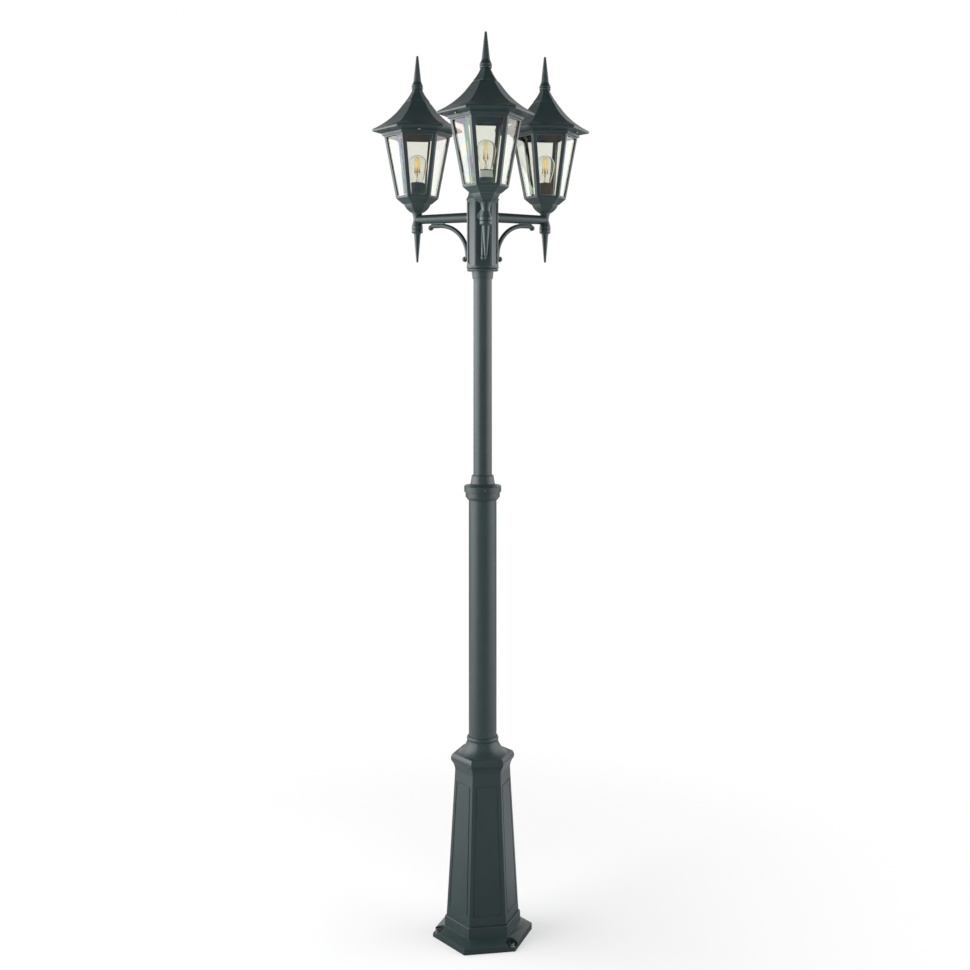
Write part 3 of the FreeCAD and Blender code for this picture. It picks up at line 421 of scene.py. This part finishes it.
# Geometry Nodes trees for what repeats round an axis or winds along it.
def newTree(name, inputs):
    tree = bpy.data.node_groups.new(name, "GeometryNodeTree")
    tree.interface.new_socket("Geometry", in_out="INPUT", socket_type="NodeSocketGeometry")
    for label, kind in inputs.items():
        tree.interface.new_socket(label, in_out="INPUT", socket_type="NodeSocket" + kind)
    tree.interface.new_socket("Geometry", in_out="OUTPUT", socket_type="NodeSocketGeometry")
    return tree, tree.nodes, tree.links, tree.nodes.new("NodeGroupInput"), tree.nodes.new("NodeGroupOutput")


def calculate(nodesOf, links, operation, first, second=None):
    node = nodesOf.new("ShaderNodeMath")
    node.operation = operation
    for index, value in enumerate((first, second)):
        if isinstance(value, float):
            node.inputs[index].default_value = value
        elif value is not None:
            links.new(value, node.inputs[index])
    return node.outputs[0]


def endTree(nodesOf, links, given, result, shape):
    placed = nodesOf.new("GeometryNodeTransform")
    links.new(shape, placed.inputs["Geometry"])
    links.new(given.outputs["Centre"], placed.inputs["Translation"])
    real = nodesOf.new("GeometryNodeRealizeInstances")
    links.new(placed.outputs["Geometry"], real.inputs["Geometry"])
    painted = nodesOf.new("GeometryNodeSetMaterial")
    links.new(real.outputs["Geometry"], painted.inputs["Geometry"])
    links.new(given.outputs["Material"], painted.inputs["Material"])
    links.new(painted.outputs["Geometry"], result.inputs["Geometry"])


def ringTree():
    # copies of the object's own mesh on a ring, each facing outwards
    tree, nodesOf, links, given, result = newTree("ringOfPieces", {
        "Count": "Int", "Radius": "Float", "First Angle": "Float", "Centre": "Vector",
        "Material": "Material"})
    index = nodesOf.new("GeometryNodeInputIndex").outputs[0]
    share = calculate(nodesOf, links, "DIVIDE", index, given.outputs["Count"])
    turn = calculate(nodesOf, links, "MULTIPLY", share, 2 * math.pi)
    turn = calculate(nodesOf, links, "ADD", turn, given.outputs["First Angle"])
    position = nodesOf.new("ShaderNodeCombineXYZ")
    for axis, operation in (("X", "COSINE"), ("Y", "SINE")):
        links.new(calculate(nodesOf, links, "MULTIPLY", calculate(nodesOf, links, operation, turn),
                            given.outputs["Radius"]), position.inputs[axis])
    points = nodesOf.new("GeometryNodePoints")
    links.new(given.outputs["Count"], points.inputs["Count"])
    links.new(position.outputs[0], points.inputs["Position"])
    facing = nodesOf.new("ShaderNodeCombineXYZ")
    links.new(turn, facing.inputs["Z"])
    rotation = nodesOf.new("FunctionNodeEulerToRotation")
    links.new(facing.outputs[0], rotation.inputs[0])
    copies = nodesOf.new("GeometryNodeInstanceOnPoints")
    links.new(points.outputs[0], copies.inputs["Points"])
    links.new(given.outputs["Geometry"], copies.inputs["Instance"])
    links.new(rotation.outputs[0], copies.inputs["Rotation"])
    endTree(nodesOf, links, given, result, copies.outputs["Instances"])
    return tree


def threadTree():
    # a round bead wound up the object's own mesh
    tree, nodesOf, links, given, result = newTree("rolledThread", {
        "Turns": "Float", "Points Per Turn": "Int", "Radius": "Float", "Height": "Float", "Bead": "Float",
        "Bead Corners": "Int", "Start": "Vector", "Centre": "Vector", "Material": "Material"})
    winding = nodesOf.new("GeometryNodeCurveSpiral")
    links.new(given.outputs["Points Per Turn"], winding.inputs["Resolution"])
    links.new(given.outputs["Turns"], winding.inputs["Rotations"])
    links.new(given.outputs["Radius"], winding.inputs["Start Radius"])
    links.new(given.outputs["Radius"], winding.inputs["End Radius"])
    links.new(given.outputs["Height"], winding.inputs["Height"])
    bead = nodesOf.new("GeometryNodeCurvePrimitiveCircle")
    links.new(given.outputs["Bead Corners"], bead.inputs["Resolution"])
    links.new(given.outputs["Bead"], bead.inputs["Radius"])
    swept = nodesOf.new("GeometryNodeCurveToMesh")
    swept.inputs["Fill Caps"].default_value = True
    links.new(winding.outputs[0], swept.inputs["Curve"])
    links.new(bead.outputs[0], swept.inputs["Profile Curve"])
    raised = nodesOf.new("GeometryNodeTransform")
    links.new(swept.outputs[0], raised.inputs["Geometry"])
    links.new(given.outputs["Start"], raised.inputs["Translation"])
    both = nodesOf.new("GeometryNodeJoinGeometry")
    links.new(raised.outputs[0], both.inputs[0])
    links.new(given.outputs["Geometry"], both.inputs[0])
    endTree(nodesOf, links, given, result, both.outputs[0])
    return tree


def grown(piece, tree, values, sharpAngle=35):
    modifier = piece.modifiers.new(tree.name, "NODES")
    modifier.node_group = tree
    for item in tree.interface.items_tree:
        if item.in_out == "INPUT" and item.name in values:
            modifier[item.identifier] = values[item.name]
    bakeModifiers(piece)
    smoothBelow(piece.data, sharpAngle)
    return piece


ringOfPieces = ringTree()
rolledThread = threadTree()
print("node trees built")


# Fastenings: one of each set is taken from the frame, rounded, and set round its axis again.
fasteningEdges = {"anchor_nuts": 0.0007, "anchor_washers": 0.0003, "collar_screws": 0.0002,
                  "roof_screws": 0.0002}
fasteningLook = {"sharpAngle": 30, "segments": 2, "flatWeight": 100, "setSharpAngle": 32}


def islandsOf(shape):
    # lists of joined vertices, one for each separate fastening, in the order of the mesh
    reached = set()
    islands = []
    for first in shape.verts:
        if first in reached:
            continue
        reached.add(first)
        island = [first]
        for vertex in island:
            for edge in vertex.link_edges:
                other = edge.other_vert(vertex)
                if other not in reached:
                    reached.add(other)
                    island.append(other)
        islands.append(island)
    return islands


def middleOf(island):
    low = Vector([min(vertex.co[axis] for vertex in island) for axis in range(3)])
    high = Vector([max(vertex.co[axis] for vertex in island) for axis in range(3)])
    return (low + high) / 2


def ringFromCad(node, axis, edgeWidth):
    shape = mergedCopy(node)
    islands = islandsOf(shape)
    centre = middleOf(islands[0]) - axis
    radius, angle = math.hypot(centre.x, centre.y), math.atan2(centre.y, centre.x)
    spare = [vertex for island in islands[1:] for vertex in island]
    bmesh.ops.delete(shape, geom=spare, context="VERTS")
    shape.transform(Matrix.Translation((-radius, 0, 0)) @ Matrix.Rotation(-angle, 4, "Z")
                    @ Matrix.Translation(-axis))
    piece = finished(node + "_set", shape, slotMaterial[slotOf[node]])
    rounded(piece, edgeWidth, fasteningLook)
    values = {"Count": len(islands), "Radius": radius, "First Angle": angle, "Centre": tuple(axis),
              "Material": slotMaterial[slotOf[node]]}
    grown(piece, ringOfPieces, values, fasteningLook["setSharpAngle"])
    return standFor(piece, node)


postAxis = Vector((0, 0, 0))
for node in ("anchor_nuts", "anchor_washers", "collar_screws"):
    ringFromCad(node, postAxis, fasteningEdges[node])
for side in sides:
    ringFromCad(side + "_roof_screws", lanternAxis(side), fasteningEdges["roof_screws"])
print("fastenings set round their axes")

# Lamps: blown bulb, rolled thread, glass stem and upright filament rods.
bulbLook = {"segments": 72, "wall": 0.0009, "neckRise": 0.008, "neckRadius": 0.0146, "flareShare": 0.55,
            "flankSteps": 14, "crownSteps": 16, "sharpAngle": 60}


def bulbShell(side):
    low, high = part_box(side + "_lamp_glass")
    look, radius = bulbLook, (high.x - low.x) / 2
    belly = high.z - radius
    halfway = (low.z + belly) / 2
    flare = look["neckRadius"] + (radius - look["neckRadius"]) * look["flareShare"]
    skins = []
    for inset in (0.0, look["wall"]):
        neck, shoulder = look["neckRadius"] - inset, (radius - inset) * math.sqrt(0.5)
        crown = (0.0, high.z - inset)
        outline = [(0.0, low.z + inset), (neck, low.z + inset)]
        outline += arcThrough((neck, low.z + look["neckRise"]), (flare - inset, halfway),
                              (radius - inset, belly), look["flankSteps"])
        outline += arcThrough((radius - inset, belly), (shoulder, belly + shoulder), crown,
                              look["crownSteps"])[1:-1]
        outline.append(crown)
        skins.append(lathe(outline, lanternAxis(side), look["segments"], False))
    outer, inner = skins
    bmesh.ops.reverse_faces(inner, faces=inner.faces)
    spare = bpy.data.meshes.new("bulbInside")
    inner.to_mesh(spare)
    inner.free()
    outer.from_mesh(spare)
    bpy.data.meshes.remove(spare)
    return standFor(finished(side + "_bulb", outer, bulbGlass, look["sharpAngle"]), side + "_lamp_glass")


# Heights are over the foot of the cap, and plainTop is the depth of the plain band above the thread.
capLook = {"turns": 4.2, "pointsPerTurn": 48, "bead": 0.0011, "beadCorners": 12, "firstTurn": 0.0075,
           "coreRadius": 0.0121, "coreDrop": 0.0005, "contactRadius": 0.0048, "contactEdge": (0.0008, 0.0012),
           "skirtRadius": 0.0095, "skirtHeight": 0.0045, "plainTop": 0.0035, "plainEdge": (0.0004, 0.0006),
           "segments": 48, "sharpAngle": 40}


def screwCap(side):
    low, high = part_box(side + "_lamp_cap")
    look, axis = capLook, lanternAxis(side)
    outer, top = (high.x - low.x) / 2, high.z - low.z
    band = top - look["plainTop"]
    contact, core = look["contactRadius"], look["coreRadius"]
    contactInwards, contactHeight = look["contactEdge"]
    inwards, upwards = look["plainEdge"]
    outline = [(0.0, 0.0), (contact - contactInwards, 0.0), (contact, contactHeight),
               (look["skirtRadius"], look["skirtHeight"]), (core, look["firstTurn"] - look["coreDrop"]),
               (core, band - upwards), (outer - inwards, band), (outer, band + upwards), (outer, top),
               (0.0, top)]
    shape = lathe(outline, Vector((0, 0, 0)), look["segments"], False)
    piece = finished(side + "_screw_cap", shape, threadMetal)
    bead, firstTurn = look["bead"], look["firstTurn"]
    values = {"Turns": look["turns"], "Points Per Turn": look["pointsPerTurn"], "Radius": outer - bead,
              "Height": band - firstTurn - 2 * bead, "Bead": bead, "Bead Corners": look["beadCorners"],
              "Start": (0.0, 0.0, firstTurn + bead), "Centre": (axis.x, axis.y, low.z),
              "Material": threadMetal}
    grown(piece, rolledThread, values, look["sharpAngle"])
    return standFor(piece, side + "_lamp_cap")


def firstRodAngle(side):
    axis = lanternAxis(side)
    return math.atan2(axis.y, axis.x) + math.pi / 4


def leaningRod(look):
    # a rod on end from the origin, with round ends, leaning towards -X by its top
    length, radius = look["length"], look["radius"]
    end = arcThrough(*[(radius * x, radius * y) for x, y in look["endShape"]], look["endSteps"])
    outline = [(0.0, 0.0)] + end + [(x, length - y) for x, y in end[::-1]] + [(0.0, length)]
    rod = lathe(outline, Vector((0, 0, 0)), look["segments"], False)
    for vertex in rod.verts:
        vertex.co.x -= look["lean"] * vertex.co.z / length
    return rod


def filamentRods(side):
    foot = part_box(side + "_lamp_glass")[0].z + rodLook["base"]
    axis = lanternAxis(side)
    rods = finished(side + "_filament_rods", leaningRod(rodLook), filamentAmber)
    grown(rods, ringOfPieces, {"Count": rodLook["count"], "Radius": rodLook["spread"],
                               "First Angle": firstRodAngle(side), "Centre": (axis.x, axis.y, foot),
                               "Material": filamentAmber})
    return standFor(rods, side + "_lamp_filament")


wireLook = {"radius": 0.00045, "sides": 8, "crownRise": 0.0004, "forkDrop": 0.007, "rootDrop": 0.004}


def wireBetween(shape, start, end, look):
    way = end - start
    turn = way.to_track_quat("Z", "Y").to_matrix().to_4x4()
    bmesh.ops.create_cone(shape, cap_ends=True, segments=look["sides"], radius1=look["radius"],
                          radius2=look["radius"], depth=way.length,
                          matrix=Matrix.Translation((start + end) / 2) @ turn)


def leadWires(side):
    # one wire up the middle, and from it one to each end of every rod
    axis, look = lanternAxis(side), wireLook
    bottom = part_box(side + "_lamp_glass")[0].z + rodLook["base"]
    top = bottom + rodLook["length"]
    fork = axis + Vector((0, 0, bottom - look["forkDrop"]))
    crown = axis + Vector((0, 0, top + look["crownRise"]))
    wires = bmesh.new()
    for index in range(rodLook["count"]):
        angle = firstRodAngle(side) + 2 * math.pi * index / rodLook["count"]
        way = Vector((math.cos(angle), math.sin(angle), 0))
        foot = axis + way * rodLook["spread"] + Vector((0, 0, bottom))
        head = axis + way * (rodLook["spread"] - rodLook["lean"]) + Vector((0, 0, top))
        wireBetween(wires, fork, foot, look)
        wireBetween(wires, crown, head, look)
    wireBetween(wires, fork - Vector((0, 0, look["rootDrop"])), crown, look)
    return join(finished(side + "_lead_wires", wires, leadWire), bodyOf[side + "_lamp_glass"])


stemLook = {"radius": 0.0038, "footRadius": 0.0085, "footRise": 0.004, "footShare": 1.3, "waistRise": 0.009,
            "middleShare": 0.72, "middleAt": 0.55, "topShare": 0.62, "tipShare": 0.4, "tipHeight": 0.002,
            "belowRods": 0.0065, "waistSteps": 6, "segments": 32, "sharpAngle": 50}


def glassStem(side):
    low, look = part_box(side + "_lamp_glass")[0].z, stemLook
    foot, rise = low + bulbLook["wall"], rodLook["base"] - look["belowRods"]
    radius, top = look["radius"], low + rise
    waist = arcThrough((radius, foot + look["waistRise"]),
                       (radius * look["middleShare"], foot + rise * look["middleAt"]),
                       (radius * look["topShare"], top - look["tipHeight"]), look["waistSteps"])
    outline = [(0.0, foot), (look["footRadius"], foot), (radius * look["footShare"], foot + look["footRise"])]
    outline += waist + [(radius * look["tipShare"], top), (0.0, top)]
    stem = lathe(outline, lanternAxis(side), look["segments"], False)
    piece = finished(side + "_glass_stem", stem, bulbGlass, look["sharpAngle"])
    return join(piece, bodyOf[side + "_lamp_glass"])


for side in sides:
    bulbShell(side)
    screwCap(side)
    filamentRods(side)
    leadWires(side)
    glassStem(side)
print("lamps made")

# Lampholders: moulded grip ribs, and a dark rim on the pale collar.
gripLook = {"count": 30, "width": 0.0016, "depth": 0.0009, "sunk": 0.0004, "topShare": 0.7, "steps": 6,
            "foot": 0.0065, "collarFoot": 0.0052, "below": 0.0025, "inset": 0.0012, "collarInset": 0.0026,
            "sharpAngle": 40}


def gripRib(height, look):
    rib = bmesh.new()
    outline = arcThrough((0.0, -look["width"] / 2), (look["depth"], 0.0), (0.0, look["width"] / 2),
                         look["steps"])
    outline = [(-look["sunk"], -look["width"] / 2)] + outline + [(-look["sunk"], look["width"] / 2)]
    low = [rib.verts.new((x, y, 0.0)) for x, y in outline]
    high = [rib.verts.new((x * look["topShare"], y, height)) for x, y in outline]
    rib.faces.new(low[::-1])
    rib.faces.new(high)
    for index in range(len(outline)):
        after = (index + 1) % len(outline)
        rib.faces.new((low[index], low[after], high[after], high[index]))
    bmesh.ops.recalc_face_normals(rib, faces=rib.faces)
    return rib


def gripRing(node, radius, footHeight, material):
    low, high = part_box(node)
    axis = Vector(((low.x + high.x) / 2, (low.y + high.y) / 2, 0))
    height = high.z - low.z - footHeight - gripLook["below"]
    piece = finished(node + "_grip", gripRib(height, gripLook), material)
    grown(piece, ringOfPieces, {"Count": gripLook["count"], "Radius": radius, "First Angle": 0.0,
                                "Centre": (axis.x, axis.y, low.z + footHeight), "Material": material},
          gripLook["sharpAngle"])
    return join(piece, bodyOf[node])


rimLook = {"width": 0.0028, "height": 0.0022, "inset": 0.0007, "seat": 0.0002, "swell": 0.0002,
           "topEdge": (0.0003, 0.0004), "segments": 64}


def collarRim():
    low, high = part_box("front_pale_collar")
    axis, look = lanternAxis("front"), rimLook
    outer = (high.x - low.x) / 2 - look["inset"]
    inner, bottom = outer - look["width"], high.z - look["height"] - look["seat"]
    inwards, downwards = look["topEdge"]
    shape = lathe([(inner, bottom), (outer, bottom), (outer + look["swell"], high.z - downwards),
                   (outer - inwards, high.z), (inner, high.z)], axis, look["segments"])
    return join(finished("front_collar_rim", shape, holderBlack), bodyOf["front_pale_collar"])


holderLow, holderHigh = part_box("right_lampholder")
gripRadius = (holderHigh.x - holderLow.x) / 2 - gripLook["inset"]
for side in sides:
    gripRing(side + "_lampholder", gripRadius, gripLook["foot"], holderBlack)
gripRing("front_pale_collar", gripRadius - gripLook["collarInset"], gripLook["collarFoot"], holderPale)
collarRim()
print("lampholders ribbed")

# Studio: white all round for the camera, with large soft lights to the left, right and front. What the coat
# reflects is darker behind the camera, overhead and on the floor in front of the post.
studio = {"floorSize": 60.0, "floorColour": 0.92, "floorRoughness": 0.9,
          "nearBounce": 0.18, "farBounce": 0.85, "bounceBack": (-0.1, 0.3),
          "shadowReach": (0.5, 1.6), "shadowLift": 0.4,
          "behindCamera": 0.28, "behindObject": 1.55, "turn": (-0.75, 0.15),
          "overhead": 0.15, "overheadRange": (0.1, 0.6)}
softLights = {"leftSoft": {"at": (-2.5, -0.55, 1.5), "width": 3.4, "height": 2.8, "radiance": 2.4},
              "leftHigh": {"at": (-2.4, 0.0, 2.3), "width": 4.6, "height": 2.2, "radiance": 2.3},
              "rightSoft": {"at": (2.5, -0.55, 1.5), "width": 3.4, "height": 2.8, "radiance": 1.65},
              "rightHigh": {"at": (2.4, 0.3, 2.3), "width": 4.0, "height": 2.2, "radiance": 0.8},
              "frontHigh": {"at": (0.0, -4.6, 3.9), "width": 4.0, "height": 3.6, "radiance": 0.95}}
cameraLook = {"focal": 47.7, "sensor": 36, "height": 1.6695, "distance": 3.521, "azimuth": -2.2,
              "shift": (0.0024, -0.1668)}


def largest(nodesOf, links, sources):
    total = sources[0]
    for source in sources[1:]:
        larger = nodesOf.new("ShaderNodeMath")
        larger.operation = "MAXIMUM"
        links.new(total, larger.inputs[0])
        links.new(source, larger.inputs[1])
        total = larger.outputs[0]
    return total


def seenByCamera(nodesOf, links):
    # 1 for what the camera sees, by itself or through glass, and 0 for what lights the object
    path = nodesOf.new("ShaderNodeLightPath")
    return largest(nodesOf, links, [path.outputs["Is Camera Ray"], path.outputs["Is Transmission Ray"]])


def paleFloor():
    material, nodesOf, links, shader = newMaterial("paleFloor")
    shader.inputs["Roughness"].default_value = studio["floorRoughness"]
    shader.inputs["Specular IOR Level"].default_value = 0.0
    white = nodesOf.new("ShaderNodeEmission")
    place = nodesOf.new("ShaderNodeTexCoord")
    reach = nodesOf.new("ShaderNodeVectorMath")
    reach.operation = "LENGTH"
    links.new(place.outputs["Object"], reach.inputs[0])
    fade = nodesOf.new("ShaderNodeMapRange")
    fade.interpolation_type = "SMOOTHSTEP"
    fade.inputs["From Min"].default_value, fade.inputs["From Max"].default_value = studio["shadowReach"]
    fade.inputs["To Min"].default_value = studio["shadowLift"]
    links.new(reach.outputs["Value"], fade.inputs["Value"])
    seen = seenByCamera(nodesOf, links)
    placed = nodesOf.new("ShaderNodeSeparateXYZ")
    links.new(place.outputs["Object"], placed.inputs[0])
    back = ranged(nodesOf, links, placed.outputs["Y"], 0.0, 1.0, *studio["bounceBack"])
    bright = largest(nodesOf, links, [fade.outputs["Result"], back])
    unseen = mixedColour(nodesOf, links, bright, (studio["nearBounce"],) * 3, (studio["farBounce"],) * 3)
    colour = mixedColour(nodesOf, links, seen, unseen, (studio["floorColour"],) * 3)
    links.new(colour, shader.inputs["Base Color"])
    mixed = nodesOf.new("ShaderNodeMixShader")
    links.new(product(nodesOf, links, fade.outputs["Result"], seen), mixed.inputs["Fac"])
    links.new(shader.outputs["BSDF"], mixed.inputs[1])
    links.new(white.outputs["Emission"], mixed.inputs[2])
    links.new(mixed.outputs["Shader"], nodesOf["Material Output"].inputs["Surface"])
    half = studio["floorSize"] / 2
    mesh = bpy.data.meshes.new("floor")
    corners = [(-half, -half, 0), (half, -half, 0), (half, half, 0), (-half, half, 0)]
    mesh.from_pydata(corners, [], [(0, 1, 2, 3)])
    meshObject("floor", mesh, material)


def whiteWorld():
    world = bpy.data.worlds.new("whiteRoom")
    bpy.context.scene.world = world
    world.use_nodes = True
    nodesOf, links = world.node_tree.nodes, world.node_tree.links
    place = nodesOf.new("ShaderNodeTexCoord")
    direction = nodesOf.new("ShaderNodeSeparateXYZ")
    links.new(place.outputs["Generated"], direction.inputs[0])
    depth = ranged(nodesOf, links, direction.outputs["Y"], studio["behindCamera"], studio["behindObject"],
                   *studio["turn"])
    height = ranged(nodesOf, links, direction.outputs["Z"], 1.0, studio["overhead"], *studio["overheadRange"])
    seen = seenByCamera(nodesOf, links)
    level = nodesOf.new("ShaderNodeMix")
    level.inputs["B"].default_value = 1.0
    links.new(seen, level.inputs["Factor"])
    links.new(product(nodesOf, links, depth, height), level.inputs["A"])
    nodesOf["Background"].inputs["Color"].default_value = (1, 1, 1, 1)
    links.new(level.outputs["Result"], nodesOf["Background"].inputs["Strength"])


def softLight(name, look):
    # a light that faces straight across to the post, and that the camera doesn't see
    lamp = bpy.data.lights.new(name, "AREA")
    lamp.shape = "RECTANGLE"
    lamp.size, lamp.size_y = look["width"], look["height"]
    lamp.energy = look["radiance"] * math.pi * look["width"] * look["height"]
    light = bpy.data.objects.new(name, lamp)
    light.location = look["at"]
    away = Vector((look["at"][0], look["at"][1] if look["at"][0] == 0 else 0, 0))
    light.rotation_euler = away.to_track_quat("Z", "Y").to_euler()
    light.visible_camera = False
    light.visible_transmission = False
    bpy.context.scene.collection.objects.link(light)


def photoCamera():
    azimuth = math.radians(cameraLook["azimuth"])
    lens = bpy.data.cameras.new("photoCamera")
    lens.sensor_width = cameraLook["sensor"]
    lens.lens = cameraLook["focal"]
    lens.shift_x, lens.shift_y = cameraLook["shift"]
    camera = bpy.data.objects.new("photoCamera", lens)
    distance = cameraLook["distance"]
    camera.location = (distance * math.sin(azimuth), -distance * math.cos(azimuth), cameraLook["height"])
    camera.rotation_euler = (math.pi / 2, 0, azimuth)
    bpy.context.scene.collection.objects.link(camera)
    bpy.context.scene.camera = camera


paleFloor()
whiteWorld()
for name, look in softLights.items():
    softLight(name, look)
photoCamera()
bpy.context.scene.view_settings.view_transform = "Standard"
print("studio ready")
